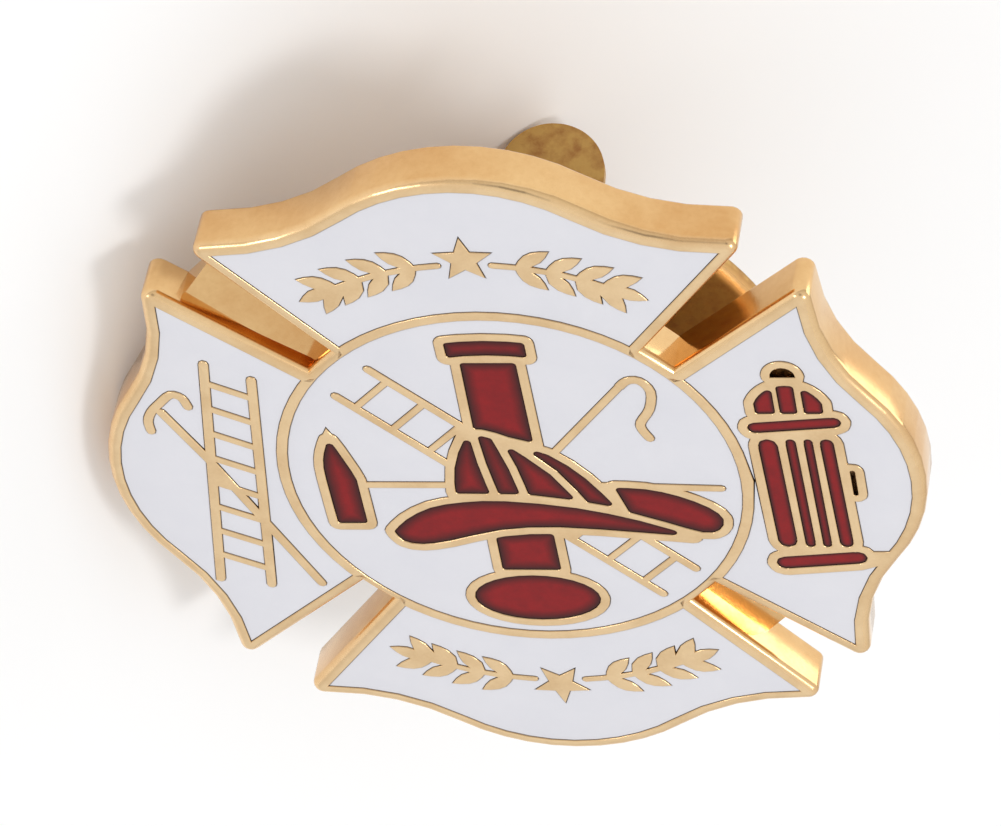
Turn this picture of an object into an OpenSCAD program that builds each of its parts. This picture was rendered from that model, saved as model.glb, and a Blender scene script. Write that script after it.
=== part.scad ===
// A service pin: a gilt cross-shaped plate with sunk cells of white and red enamel between raised
// metal lines, and a butterfly clutch on the post behind it. The pin lies on its clutch, as it does
// when it is put down. The face is drawn flat, with x to the right, y up and z out of the face.

/* [Cross plate] */
// Height of the top of an arm's curved edge above the centre, measured on the enamel
arm_apex = 9.16; // [9:0.02:9.6]
// Radius of the bulge in the middle of an arm's edge
crown_r = 4.2; // [3.8:0.1:5]
// Half width of an arm at its tips
arm_tip_x = 5.66; // [5.4:0.02:5.8]
// Height of an arm's tips above the centre
arm_tip_y = 7.26; // [7.1:0.02:7.5]
// Half width of an arm where it leaves the ring
arm_neck_x = 3.36; // [3.2:0.02:3.5]
// Height of that place above the centre
arm_neck_y = 4.46; // [4.4:0.02:4.6]
// How much nearer the centre the right arm's edge lies
right_inset = 0.1; // [0:0.02:0.24]
// Width of the metal rim round the enamel
rim_w = 0.34; // [0.26:0.02:0.4]
// Outer radius of the round ring in the middle
ring_r = 5.48; // [5.4:0.02:5.6]
// Width of that ring
ring_w = 0.28; // [0.2:0.02:0.32]
// Thickness of the plate
plate_t = 1.2; // [1:0.1:1.4]

/* [Enamel] */
// Depth of the cells below the face
cell_depth = 0.4; // [0.3:0.05:0.5]
// Free width between the enamel and the metal round it
enamel_gap = 0.025; // [0.015:0.005:0.03]
// How far the metal lines stand above the enamel
line_rise = 0.03; // [0.02:0.01:0.05]
// Width of the metal lines round the red fields
line_w = 0.25; // [0.2:0.01:0.28]
// Radius of the red fields' corners
red_corner_r = 0.06; // [0.03:0.01:0.08]
// Half the width under which a sliver of enamel is left out
enamel_sliver = 0.04; // [0.02:0.01:0.05]

/* [Post and clutch] */
// Radius of the post
post_r = 0.5; // [0.45:0.05:0.55]
// How far behind the face the post's point is
post_reach = 7.4; // [7:0.1:7.6]
// Radius of the clutch's disc
disc_r = 6.2; // [6:0.1:6.4]
// How far behind the face the disc's flat side is
disc_front = 3; // [2.8:0.1:3.2]
// Height of the disc's turned rim
disc_h = 0.5; // [0.4:0.1:0.6]
// Thickness of the clutch's sheet brass
sheet_t = 0.3; // [0.25:0.05:0.35]
// Half the width of the ears, and the radius of their round ends
ear_r = 1.25; // [1.2:0.05:1.3]
// How steeply the ears stand up from the disc, in degrees
ear_rise = 70; // [66:1:76]
// Length of an ear from its bend to the centre of its round end
ear_run = 3.4; // [3.2:0.1:3.6]
// Turn of the clutch on the post, in degrees
clutch_turn = -5; // [-10:1:0]

/* [Hidden] */
cap_fn = 8;

// The bulge and the hollow beside it are arcs that touch without a corner, and the hollow is deepest
// at the tip
arm_sag = arm_apex - arm_tip_y;
radii_sum = (arm_tip_x * arm_tip_x + arm_sag * arm_sag) / (2 * arm_sag);
hollow_r = radii_sum - crown_r;
turn_angle = atan2(arm_tip_x, radii_sum - arm_sag);

cell_floor = -cell_depth;
enamel_top = -line_rise;
enamel_bottom = cell_floor + enamel_gap;

// How far behind the face the clutch's disc ends and its spring lies, and the spring's two bends
disc_back = disc_front + disc_h;
seat_h = 0.5;
spring_play = 0.03;
spring_front = disc_front + sheet_t + seat_h + spring_play;
spring_middle = spring_front + sheet_t / 2;
spring_flat = 1.5;
bend = sheet_t / 2 * tan(ear_rise / 2);
ear_depth = spring_middle + ear_run * sin(ear_rise) + sheet_t / 2 * cos(ear_rise);

// Points of a smooth open curve through knots
function spline(a, b, c, d, t) =
  (2 * b + (c - a) * t + (2 * a - 5 * b + 4 * c - d) * t * t + (3 * b - a - 3 * c + d) * t * t * t) / 2;
function curve(k, steps) = [
  for (i = [0:len(k) - 2], s = [0:steps - 1])
    spline(k[max(i - 1, 0)], k[i], k[i + 1], k[min(i + 2, len(k) - 1)], s / steps),
  k[len(k) - 1]
];

// One side of an arm's curved edge, from the middle to the tip: the bulge and then the hollow
function arm_half_edge() = [
  for (i = [0:5]) let (a = turn_angle * i / 5) [crown_r * sin(a), arm_apex - crown_r + crown_r * cos(a)],
  for (i = [1:4]) let (b = turn_angle * (1 - i / 4))
    [arm_tip_x - hollow_r * sin(b), arm_tip_y + hollow_r - hollow_r * cos(b)]
];
function mirrored(points) = [for (i = [len(points) - 1:-1:0]) [-points[i][0], points[i][1]]];
arm_edge = concat(mirrored(arm_half_edge()), arm_half_edge());

// An arm's sides run on a little under the ring, so that the ring cuts them off
under_ring = 0.4;
arm_neck = [arm_neck_x, arm_neck_y];
arm_side = (arm_neck - [arm_tip_x, arm_tip_y]) / norm(arm_neck - [arm_tip_x, arm_tip_y]);
arm_root = arm_neck + under_ring * arm_side;

// The edge of the arm in a quarter: 0 top, 1 left, 2 bottom, 3 right
insets = [0, 0, 0, right_inset];
side_slope = (arm_tip_x - arm_neck_x) / (arm_tip_y - arm_neck_y);
function edge_of(quarter) = [for (p = arm_edge) p - insets[quarter] * [side_slope * p[0] / arm_tip_x, 1]];

// The pin lies on its two ears and on what first meets the floor on the left, the left arm's edge or
// the disc's rim. How low an ear's round end comes depends on the lean, so the lean takes three rounds.
function spun(p, a) = [p[0] * cos(a) - p[1] * sin(a), p[0] * sin(a) + p[1] * cos(a)];
edge_reach = rim_w - min([for (p = edge_of(1)) spun(spun(p, 90), -clutch_turn)[0]]);
function ear_drop(lean) = ear_r * sqrt(1 - pow(cos(ear_rise) * cos(lean), 2));
function lean_on(reach, depth, drop) =
  atan2(ear_depth - depth, reach) + asin(drop / norm([ear_depth - depth, reach]));
function lean_with(drop) = min(lean_on(edge_reach, plate_t, drop), lean_on(disc_r, disc_back, drop));
lean = lean_with(ear_drop(lean_with(ear_drop(lean_with(ear_r)))));
lift = ear_depth * cos(lean) + ear_drop(lean);

// The outline's farthest points, with the rim, after the pin leans: these centre it on the origin
function leaned(p) =
  let (q = spun([p[0], p[1]], -clutch_turn))
  let (x = q[0] * cos(lean) - p[2] * sin(lean))
  spun([x, q[1]], clutch_turn);
rim_points = [
  for (quarter = [0:3], p = edge_of(quarter), a = [0:15:345], z = [0, -plate_t])
    let (r = spun(p, 90 * quarter)) leaned([r[0] + rim_w * cos(a), r[1] + rim_w * sin(a), z])
];
mid_x = (max([for (p = rim_points) p[0]]) + min([for (p = rim_points) p[0]])) / 2;
mid_y = (max([for (p = rim_points) p[1]]) + min([for (p = rim_points) p[1]])) / 2;

module at_rest() {
  translate([-mid_x, -mid_y, lift])
    rotate([0, 0, clutch_turn]) rotate([0, -lean, 0]) rotate([0, 0, -clutch_turn]) children();
}

// Flat drawing helpers: a round-ended stroke through points, and a ladder
module stroke(points, w) {
  for (p = points) translate(p) circle(d = w, $fn = cap_fn);
  for (i = [0:len(points) - 2])
    let (p = points[i], d = points[i + 1] - points[i])
      translate(p) rotate(atan2(d[1], d[0])) translate([0, -w / 2]) square([norm(d), w]);
}

// Both rails run from foot_* to head_*; the rungs are spaced evenly along them
module ladder(head_a, foot_a, head_b, foot_b, first, pitch, count, rail_w, rung_w) {
  stroke([head_a, foot_a], rail_w);
  stroke([head_b, foot_b], rail_w);
  along_a = (foot_a - head_a) / norm(foot_a - head_a);
  along_b = (foot_b - head_b) / norm(foot_b - head_b);
  for (i = [0:count - 1])
    stroke([head_a + along_a * (first + pitch * i), head_b + along_b * (first + pitch * i)], rung_w);
}

// Helmet, seen from its side: the crown between its ribs, the brim and the raised rear brim.
// Every knot is [x, y] on the face.
crown_top_knots = [
  [-1.42, -0.44], [-1.3, 0.4], [-0.92, 1.34], [-0.5, 1.45],
  [0, 1.22], [0.9, 0.85], [1.65, 0.06], [2.2, -0.88]
];
crown_base_knots = [[2.2, -0.88], [1.35, -0.66], [0.2, -0.46], [-1.42, -0.44]];
rib_knots = [
  [[-0.72, 1.75], [-0.66, 0.57], [-0.5, -0.7]],
  [[-0.26, 1.6], [0.03, 0.4], [0.19, -0.75]],
  [[0.02, 1.3], [0.95, 0.26], [1.6, -1]]
];
rib_w = 0.23;
brim_top_knots = [
  [-3.08, -1.75], [-2.72, -1.35], [-2.1, -0.95], [-1.3, -0.76],
  [-0.3, -0.72], [1.3, -0.94], [2.7, -1.36], [3.86, -1.87]
];
brim_base_knots = [
  [3.86, -1.87], [2.7, -1.74], [0.8, -1.57], [-0.57, -1.67],
  [-1.84, -2.05], [-2.5, -2.17], [-2.92, -2.06], [-3.08, -1.75]
];
rear_brim_knots = [
  [2.3, -0.25], [3, -0.3], [3.7, -0.52], [4.35, -0.9], [4.63, -1.28],
  [4.5, -1.64], [4.12, -1.72], [3.3, -1.38], [2.52, -1.06]
];

module crown_field() {
  polygon(concat(curve(crown_top_knots, 2), curve(crown_base_knots, 1)));
}

module helmet_fields() {
  difference() {
    crown_field();
    for (k = rib_knots) stroke(curve(k, 2), rib_w);
  }
  polygon(concat(curve(brim_top_knots, 2), curve(brim_base_knots, 2)));
  polygon(curve(rear_brim_knots, 2));
}

module helmet_shape() {
  offset(r = line_w, $fn = 12) {
    crown_field();
    helmet_fields();
  }
}

// Speaking trumpet, upright behind the helmet: mouthpiece, tapered tube and bell
mouth_centre = [0.02, 4.33];
mouth_size = [1.8, 0.44];
mouth_arch_r = 6;
tube_top = 3.84;
tube_base = -3.04;
tube_top_x = [-0.61, 0.63];
tube_base_x = [-0.74, 0.61];
bell_centre = [-0.08, -4.02];
bell_radii = [1.47, 0.76];

module trumpet_fields() {
  translate(mouth_centre) intersection() {
    square([mouth_size[0], 2 * mouth_size[1]], center = true);
    translate([0, -mouth_arch_r]) difference() {
      circle(r = mouth_arch_r + mouth_size[1] / 2, $fn = 72);
      circle(r = mouth_arch_r - mouth_size[1] / 2, $fn = 72);
    }
  }
  polygon([
    [tube_top_x[0], tube_top], [tube_top_x[1], tube_top],
    [tube_base_x[1], tube_base], [tube_base_x[0], tube_base]
  ]);
  translate(bell_centre) scale(bell_radii) circle(r = 1, $fn = 28);
}

module trumpet_shape() {
  offset(r = line_w, $fn = 16) trumpet_fields();
}

// Axe: the blade hangs from the left end of the handle, which passes behind the helmet
blade_knots = [[-4.09, 1.32], [-4.26, 0.9], [-4.36, 0.4], [-4.37, -0.4], [-4.36, -1.46]];
blade_back = [[-3.69, -1.46], [-3.69, 0], [-3.76, 0.3], [-3.98, 1.02]];
blade_point = [-4.08, 1.76];
handle_line = [[-3.5, -0.17], [2.2, -0.17], [4.74, -0.26]];
handle_w = 0.22;

module blade_field() {
  polygon(concat(curve(blade_knots, 2), blade_back));
}

module axe_shape() {
  offset(r = line_w, $fn = 12) blade_field();
  polygon([blade_point, [-4.47, 1.02], [-3.75, 1]]);
  stroke(handle_line, handle_w);
}

// Long pole with a hook at its end, from behind the helmet to the upper right
pole_line = [[0.9, 0.72], [2.86, 3.06]];
pole_hook_knots = [
  [2.86, 3.06], [3.08, 3.27], [3.36, 3.26], [3.56, 2.92],
  [3.46, 2.36], [3.2, 1.92], [3.2, 1.68], [3.33, 1.4]
];

pole_w = 0.22;
hook_w = 0.25;

module pole_shape() {
  stroke(pole_line, pole_w);
  stroke(curve(pole_hook_knots, 3), hook_w);
}

module centre_ladder_shape() {
  ladder(
    head_a = [-2.77, 3.65], foot_a = [3.78, -2.98], head_b = [-3.67, 2.78], foot_b = [2.9, -3.86],
    first = 0.55, pitch = 1.025, count = 9, rail_w = 0.24, rung_w = 0.2
  );
}

// Hydrant on the right arm: a row for each enamel stripe of the barrel
// [left edge at the top, width, how far the foot stands to the right]
barrel_stripes = [[5.77, 0.41, 0.06], [6.4, 0.2, 0.05], [6.81, 0.17, 0.04], [7.17, 0.28, 0.07]];
barrel_top = 1.37;
barrel_base = -2.2;
// Both flanges: [left, right, middle at the left end, middle at the right end, half height]
flanges = [[5.6, 7.7, 1.75, 1.92, 0.155], [5.7, 7.78, -2.75, -2.57, 0.19]];
// The bonnet's three fields share one arched top
bonnet_x = [[5.84, 6.26], [6.4, 6.76], [6.94, 7.34]];
bonnet_base = 2.22;
bonnet_centre = [6.59, 2.08];
bonnet_radii = [0.84, 1.02];
// Two small open recesses in the metal, without enamel
knob_centre = [6.58, 3.4];
knob_r = 0.25;
cap_slot_x = 7.78;
cap_slot_y = [-0.42, 0.3];
cap_slot_w = 0.05;
// The lower flange runs on into the arm's rim
rim_link_corner = [7.86, -2.85];
rim_link_size = [0.8, 0.5];

module flange_fields() {
  for (f = flanges) stroke([[f[0] + f[4], f[2]], [f[1] - f[4], f[3]]], 2 * f[4]);
}

module hydrant_fields() {
  for (s = barrel_stripes)
    let (x = s[0] + s[1] / 2)
      stroke([[x, barrel_top - s[1] / 2], [x + s[2], barrel_base + s[1] / 2]], s[1]);
  flange_fields();
  for (x = bonnet_x)
    intersection() {
      translate([x[0], bonnet_base]) square([x[1] - x[0], 2]);
      translate(bonnet_centre) scale(bonnet_radii) circle(r = 1, $fn = 40);
    }
}

module hydrant_recesses() {
  intersection() {
    translate(knob_centre) circle(r = knob_r, $fn = 20);
    translate(knob_centre + [-1, 0]) square([2, 1]);
  }
  stroke([[cap_slot_x, cap_slot_y[0]], [cap_slot_x, cap_slot_y[1]]], cap_slot_w);
}

module hydrant_shape() {
  offset(r = line_w, $fn = 12) {
    hydrant_fields();
    hydrant_recesses();
  }
  translate(rim_link_corner) square(rim_link_size);
}

// Left arm: a ladder with a two-pronged pole across it
pike_line = [[-7.84, 2.25], [-7.05, 0.7], [-5.15, -3.57]];
pike_hook_knots = [
  [-7.17, 2.42], [-7.26, 2.72], [-7.5, 2.82], [-7.8, 2.55],
  [-8.06, 2.26], [-8.2, 1.95], [-8.2, 1.62]
];

module left_arm_shape() {
  ladder(
    head_a = [-5.52, 3.3], foot_a = [-6.37, -3.62], head_b = [-6.53, 3.82], foot_b = [-7.56, -3.42],
    first = 0.62, pitch = 0.83, count = 8, rail_w = 0.26, rung_w = 0.21
  );
  stroke(pike_line, hook_w);
  stroke(curve(pike_hook_knots, 3), hook_w);
}

// Leafy spray with a star in its middle, in the places for wording on the top and bottom arms
spray_r = 6.95;
spray_start = 5;
spray_end = 26;
spray_stem_w = 0.19;
leaf_angles = [9, 14.5, 20, 25];
leaf_size = [1, 0.4];
leaf_lean = 38;
star_r = 0.72;
star_hollow = 0.44;
star_y = 7.1;

// A leaf's two sides are half waves from its stalk to its point
function leaf_side(side, steps) = [
  for (t = steps) [leaf_size[0] * t, side * leaf_size[1] / 2 * sin(180 * t)]
];

module leaf() {
  polygon(concat(leaf_side(-1, [0:0.2:0.8]), leaf_side(1, [1:-0.2:0.2])));
}

module half_spray() {
  stem = [for (i = [0:6]) spray_start + (spray_end - spray_start) * i / 6];
  stroke([for (a = stem) spray_r * [sin(a), cos(a)]], spray_stem_w);
  for (a = leaf_angles, side = [-1, 1])
    translate(spray_r * [sin(a), cos(a)]) rotate(-a + side * leaf_lean) leaf();
  translate(spray_r * [sin(spray_end), cos(spray_end)]) rotate(-spray_end) leaf();
}

module spray_shape() {
  half_spray();
  mirror([1, 0]) half_spray();
  translate([0, star_y])
    polygon([for (i = [0:9]) star_r * (i % 2 == 0 ? 1 : star_hollow) * [sin(36 * i), cos(36 * i)]]);
}

// What divides the enamel: all metal shapes on the face, and the fields that they leave
module arm_wedge(quarter) {
  rotate(90 * quarter) polygon(concat(edge_of(quarter), [arm_root, [-arm_root[0], arm_root[1]]]));
}

// The rim goes round the arms, with its tips rounded by a part of its width
tip_r = 0.75 * rim_w;

module plate_outline() {
  circle(r = ring_r, $fn = 72);
  for (quarter = [0:3])
    offset(r = tip_r, $fn = 16) offset(delta = rim_w - tip_r) arm_wedge(quarter);
}

// Sloping webs left in two of the notches:
// [direction of the notch, reach from the centre, side that is high, its depth, other side's depth]
// They run in under the arms' rims, so both depths lie below the cells' floor.
webs = [[135, 8.75, 1, 0.42, 1], [-45, 7.7, -1, 0.68, 0.72]];
web_slope_y = 0.55;
web_half_w = 1;

module notch_webs() {
  for (w = webs)
    rotate([0, 0, w[0]]) translate([ring_r - ring_w, 0, 0]) rotate([90, 0, 90])
      linear_extrude(w[1] - ring_r + ring_w) polygon([
        [w[2] * web_half_w, -w[3]],
        [w[2] * web_slope_y, -w[3]],
        [-w[2] * web_slope_y, -w[4]],
        [-w[2] * web_half_w, -w[4]],
        [-w[2] * web_half_w, -plate_t],
        [w[2] * web_half_w, -plate_t]
      ]);
}

module centre_white_fields() {
  difference() {
    circle(r = ring_r - ring_w, $fn = 72);
    helmet_shape();
    trumpet_shape();
    axe_shape();
    pole_shape();
    centre_ladder_shape();
  }
}

module arm_white_fields(quarter) {
  difference() {
    arm_wedge(quarter);
    circle(r = ring_r, $fn = 72);
    if (quarter == 0) spray_shape();
    if (quarter == 1) left_arm_shape();
    if (quarter == 2) rotate(180) spray_shape();
    if (quarter == 3) hydrant_shape();
  }
}

module red_trumpet_fields() {
  difference() {
    trumpet_fields();
    helmet_shape();
  }
}

// Enamel without its thinnest slivers, the red fields' rounded corners, and the cells for both
module rounded_field() {
  offset(r = red_corner_r, $fn = 12) offset(delta = -red_corner_r - enamel_gap / 2) children();
}

module clean_field() {
  offset(delta = enamel_sliver) offset(delta = -enamel_sliver - enamel_gap / 2) children();
}

module enamel_fill() {
  at_rest() translate([0, 0, enamel_bottom]) linear_extrude(enamel_top - enamel_bottom) children();
}

module cells() {
  translate([0, 0, cell_floor]) linear_extrude(2 * cell_depth) offset(delta = enamel_gap) children();
}

module all_cells() {
  cells() clean_field() centre_white_fields();
  for (quarter = [0:3]) cells() clean_field() arm_white_fields(quarter);
  cells() {
    rounded_field() helmet_fields();
    rounded_field() red_trumpet_fields();
    rounded_field() blade_field();
    rounded_field() hydrant_fields();
    hydrant_recesses();
  }
}

// The post's foot spreads on the plate's back, and its point is a short cone
post_foot_r = 1.3;
post_foot_h = 0.25;
post_point_h = 0.9;
post_point_r = 0.12;
solder_lap = 0.1;

module post() {
  translate([0, 0, -plate_t - post_foot_h]) cylinder(r = post_foot_r, h = post_foot_h + solder_lap, $fn = 48);
  translate([0, 0, -post_reach + post_point_h])
    cylinder(r = post_r, h = post_reach - post_point_h - plate_t, $fn = 32);
  translate([0, 0, -post_reach]) cylinder(r1 = post_point_r, r2 = post_r, h = post_point_h, $fn = 32);
}

// A hair of offset joins the arms and the ring into one outline
outline_join = 0.001;

module plate() {
  color("#e0b070") at_rest() {
    difference() {
      translate([0, 0, -plate_t]) linear_extrude(plate_t) offset(delta = outline_join) plate_outline();
      all_cells();
    }
    notch_webs();
    post();
  }
}

module enamel_white_centre() {
  color("#e4e4ea") enamel_fill() clean_field() centre_white_fields();
}

module enamel_white_top() {
  color("#e4e4ea") enamel_fill() clean_field() arm_white_fields(0);
}

module enamel_white_left() {
  color("#e4e4ea") enamel_fill() clean_field() arm_white_fields(1);
}

module enamel_white_bottom() {
  color("#e4e4ea") enamel_fill() clean_field() arm_white_fields(2);
}

module enamel_white_right() {
  color("#e4e4ea") enamel_fill() clean_field() arm_white_fields(3);
}

module enamel_red_helmet() {
  color("#8c1e2d") enamel_fill() rounded_field() helmet_fields();
}

module enamel_red_trumpet() {
  color("#8c1e2d") enamel_fill() rounded_field() red_trumpet_fields();
}

module enamel_red_axe() {
  color("#8c1e2d") enamel_fill() rounded_field() blade_field();
}

module enamel_red_hydrant() {
  color("#8c1e2d") enamel_fill() rounded_field() hydrant_fields();
}

// Clutch disc: a shallow cup of sheet brass whose rim turns away from the plate, with a raised seat
// in the middle that carries the butterfly spring
post_play = 0.04;
seat_r = 2.5;
seat_slope = 0.15;
rim_lip = 0.12;

module clutch_base() {
  color("#aa8246") at_rest() rotate([0, 0, clutch_turn]) rotate_extrude($fn = 96) polygon([
    [post_r + post_play, -disc_front],
    [disc_r - rim_lip, -disc_front],
    [disc_r, -disc_front - rim_lip],
    [disc_r, -disc_back],
    [disc_r - sheet_t, -disc_back],
    [disc_r - sheet_t, -disc_front - sheet_t],
    [seat_r, -disc_front - sheet_t],
    [seat_r - seat_slope, -disc_front - sheet_t - seat_h],
    [post_r + post_play, -disc_front - sheet_t - seat_h]
  ]);
}

// Butterfly spring: a flat strip on the seat, bent up on both sides into ears with round ends
spring_hub_r = 1.1;
spring_hub_h = 0.75;

module spring_side_profile() {
  // x behind the face, y along the ears; one half, from the hub to past the ear's end
  past_end = (ear_run + 2 * ear_r) * [sin(ear_rise), cos(ear_rise)];
  polygon([
    [spring_front, 0],
    [spring_front, spring_flat + bend],
    [spring_front, spring_flat + bend] + past_end,
    [spring_front + sheet_t, spring_flat - bend] + past_end,
    [spring_front + sheet_t, spring_flat - bend],
    [spring_front + sheet_t, 0]
  ]);
}

module ear_outline() {
  // Seen square on, with the bend at y = 0
  translate([-ear_r, -spring_flat]) square([2 * ear_r, spring_flat + ear_run]);
  translate([0, ear_run]) circle(r = ear_r, $fn = 32);
}

module clutch_wings() {
  color("#aa8246") at_rest() rotate([0, 0, clutch_turn]) difference() {
    union() {
      for (side = [0, 180]) rotate([0, 0, side]) intersection() {
        rotate([0, 90, 0]) translate([0, 0, -seat_r]) linear_extrude(2 * seat_r) spring_side_profile();
        translate([0, spring_flat, -spring_middle]) rotate([-ear_rise, 0, 0])
          translate([0, 0, -2 * spring_flat]) linear_extrude(3 * spring_flat) ear_outline();
      }
      translate([0, 0, -spring_front - spring_hub_h]) cylinder(r = spring_hub_r, h = spring_hub_h, $fn = 32);
    }
    translate([0, 0, -post_reach - 1]) cylinder(r = post_r + post_play, h = post_reach, $fn = 32);
  }
}

plate();
enamel_white_centre();
enamel_white_top();
enamel_white_right();
enamel_white_bottom();
enamel_white_left();
enamel_red_helmet();
enamel_red_trumpet();
enamel_red_axe();
enamel_red_hydrant();
clutch_base();
clutch_wings();
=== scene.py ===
"""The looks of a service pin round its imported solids: a gilt plate with rounded shoulders,
glossy enamel in its cells, and the pressed brass clutch that the pin lies on.

The pieces are worked out flat, in millimetres, with x to the right on the face, y up on it and
z out of it, as the solids were drawn. One turn and one shift then lay them down with the solids."""

import math

import bmesh
import bpy
import numpy as np
from bpy.props import FloatProperty, FloatVectorProperty, IntProperty, PointerProperty
from mathutils import Euler, Matrix, Vector
from mathutils.geometry import delaunay_2d_cdt


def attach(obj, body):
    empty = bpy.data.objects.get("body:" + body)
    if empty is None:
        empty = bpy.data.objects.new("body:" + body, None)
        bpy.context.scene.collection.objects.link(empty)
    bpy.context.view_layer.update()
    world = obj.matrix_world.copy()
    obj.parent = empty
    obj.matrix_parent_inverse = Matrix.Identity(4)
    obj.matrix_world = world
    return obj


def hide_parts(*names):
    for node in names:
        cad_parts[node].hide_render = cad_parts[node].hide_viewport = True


bl_info = {
    "name": "Service pin",
    "version": (1, 0, 0),
    "blender": (4, 5, 0),
    "location": "3D View > Sidebar > Pin",
    "description": "Builds a service pin's gilt plate, enamel and clutch round its solids",
    "category": "Object",
}

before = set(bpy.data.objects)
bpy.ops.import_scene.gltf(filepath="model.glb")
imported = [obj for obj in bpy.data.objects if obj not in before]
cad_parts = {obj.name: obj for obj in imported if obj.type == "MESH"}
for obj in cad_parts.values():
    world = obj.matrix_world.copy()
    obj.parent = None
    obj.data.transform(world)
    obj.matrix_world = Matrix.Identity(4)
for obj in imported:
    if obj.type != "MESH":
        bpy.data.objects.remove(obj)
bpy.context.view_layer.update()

MM = 0.001
FLAT = 0.005  # how far from a plane, in mm, a point still counts as on it
WELD = 5e-8  # points closer than this, in metres, are made one
SHARP = math.radians(35)  # edges where the surface turns by more than this stay sharp

# Heights of the solids' surfaces over the face, in mm, that the pieces are fitted to
PLATE_BACK = -1.2
CELL_FLOOR = -0.4
ENAMEL_TOP = -0.03

# Radii of the post's spread foot and of the clutch's bore, in mm
FOOT_R = 1.3
BORE_R = 0.54

# The clutch, in mm: its sheets' thicknesses, the depths of its disc, seat and spring behind the
# face, and the sizes of the disc and of the spring with its ears
SHEET = 0.3
HUB_SHEET = 0.2
DISC_FRONT = 3.0
DISC_BACK = 3.5
SEAT = 3.8
SPRING_FRONT = 3.83
DISC_R = 6.2
SPRING_FLAT = 1.5
EAR_R = 1.25
EAR_RISE = math.radians(70)
EAR_RUN = 3.4

# How the solids were laid down: the pin leans on its clutch's ears and its left arm's edge, about
# a line turned by a few degrees, the middle of its box comes over the origin, and it is lifted
TURN = math.radians(-5)
LEAN = math.radians(38.6074)
MIDDLE = (0.333808, -0.03263)
LIFT = 6.85142

# Steps in which the edges of the raised lines, of the enamel and of the back are rounded
LINE_STEPS = 6
ENAMEL_STEPS = 4
BACK_STEPS = 4

# How the marks run that the materials read, each from 0 to 1
GROOVE_SHADE_START = 0.375  # how far round a raised line's edge the painted shade of the grooves begins
BACK_SATIN = 0.5  # how much of the plate's satin finish is on its back
WHITE_EDGE_SHADE_RISE = 1.5  # how fast the painted shade on the white enamel's rim comes on round its edge
HYDRANT_SHADE_BORDER = 0.3  # the share of the red enamel's border of painted shade that the hydrant's narrow fields have
EDGE_HIGHLIGHT_RISE = 3  # how strongly the painted highlight comes on along the front of the disc's edge

# The camera's place and turn in the flat drawing, in mm and degrees, found by fitting the plate's
# outline to the photo, its sensor's width in mm, and how near and how far it sees, in m
CAMERA_PLACE = (28.26, 94.81, 86.53)
CAMERA_TURN = (-47.615, 8.556, -9.217)
SENSOR_WIDTH = 36
CAMERA_SIGHT = (0.005, 10)

# Each lamp's name, its direction in degrees (round, up), its distance and size in m, and its watts
LAMPS = (
    ("overhead", 35, 74, 0.35, 0.075, 0.24),
    ("left", 152, 13, 0.30, 0.05, 0.08),
    ("right", 0, 6, 0.40, 0.25, 0.35),
)

# The floor, in m: half its width, and its height, a hair under the pin so that they don't touch
FLOOR_HALF = 1.5
FLOOR_HEIGHT = -0.00001
FLOOR_CLOUD = 0.99  # brightness of the floor's faint clouds, as a share of its own


def laid_down():
    """The turn and the shift, in mm, from the flat drawing to the pin at rest. The turn is
    Rz(turn) Ry(-lean) Rz(-turn), and the shift sets the ears on the floor and the middle of the
    pin's box over the origin."""
    around = Matrix.Rotation(TURN, 3, "Z")
    turn = around @ Matrix.Rotation(-LEAN, 3, "Y") @ around.transposed()
    return np.array(turn), np.array([-MIDDLE[0], -MIDDLE[1], LIFT])


REST_TURN, REST_SHIFT = laid_down()


def to_flat(points):
    """World points in metres to the flat drawing in mm."""
    return (points / MM - REST_SHIFT) @ REST_TURN


def to_world(points):
    """Points of the flat drawing in mm to world points in metres."""
    return (points @ REST_TURN.T + REST_SHIFT) * MM


class PlateSettings(bpy.types.PropertyGroup):
    shoulder: FloatProperty(
        name="Shoulder", description="Radius of the rounded outer edge of the face",
        default=0.22 * MM, min=0.02 * MM, max=0.26 * MM, unit="LENGTH", precision=6,
    )
    line_edge: FloatProperty(
        name="Line edge", description="Radius of the raised lines' edges",
        default=0.035 * MM, min=0.01 * MM, max=0.08 * MM, unit="LENGTH", precision=6,
    )
    back_edge: FloatProperty(
        name="Back edge", description="Radius of the outer edge of the back",
        default=0.1 * MM, min=0.02 * MM, max=0.2 * MM, unit="LENGTH", precision=6,
    )
    polished: FloatVectorProperty(
        name="Polished gilt", description="Colour of the polished walls", subtype="COLOR",
        default=(0.83, 0.545, 0.255), min=0, max=1,
    )
    polished_worn: FloatVectorProperty(
        name="Polished gilt, worn", description="Colour of the walls' worn patches", subtype="COLOR",
        default=(0.58, 0.26, 0.07), min=0, max=1,
    )
    satin: FloatVectorProperty(
        name="Satin gilt", description="Colour of the ground lines on the face", subtype="COLOR",
        default=(0.96, 0.71, 0.42), min=0, max=1,
    )
    satin_worn: FloatVectorProperty(
        name="Satin gilt, worn", description="Colour of the lines' worn patches", subtype="COLOR",
        default=(0.74, 0.50, 0.26), min=0, max=1,
    )
    # Painted shade: a darker colour for the metal down in the cells and on the raised lines' edges
    # beside the enamel, where shade falls
    groove: FloatVectorProperty(
        name="Groove", description="Colour of the metal down beside the enamel", subtype="COLOR",
        default=(0.42, 0.32, 0.22), min=0, max=1,
    )


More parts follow.
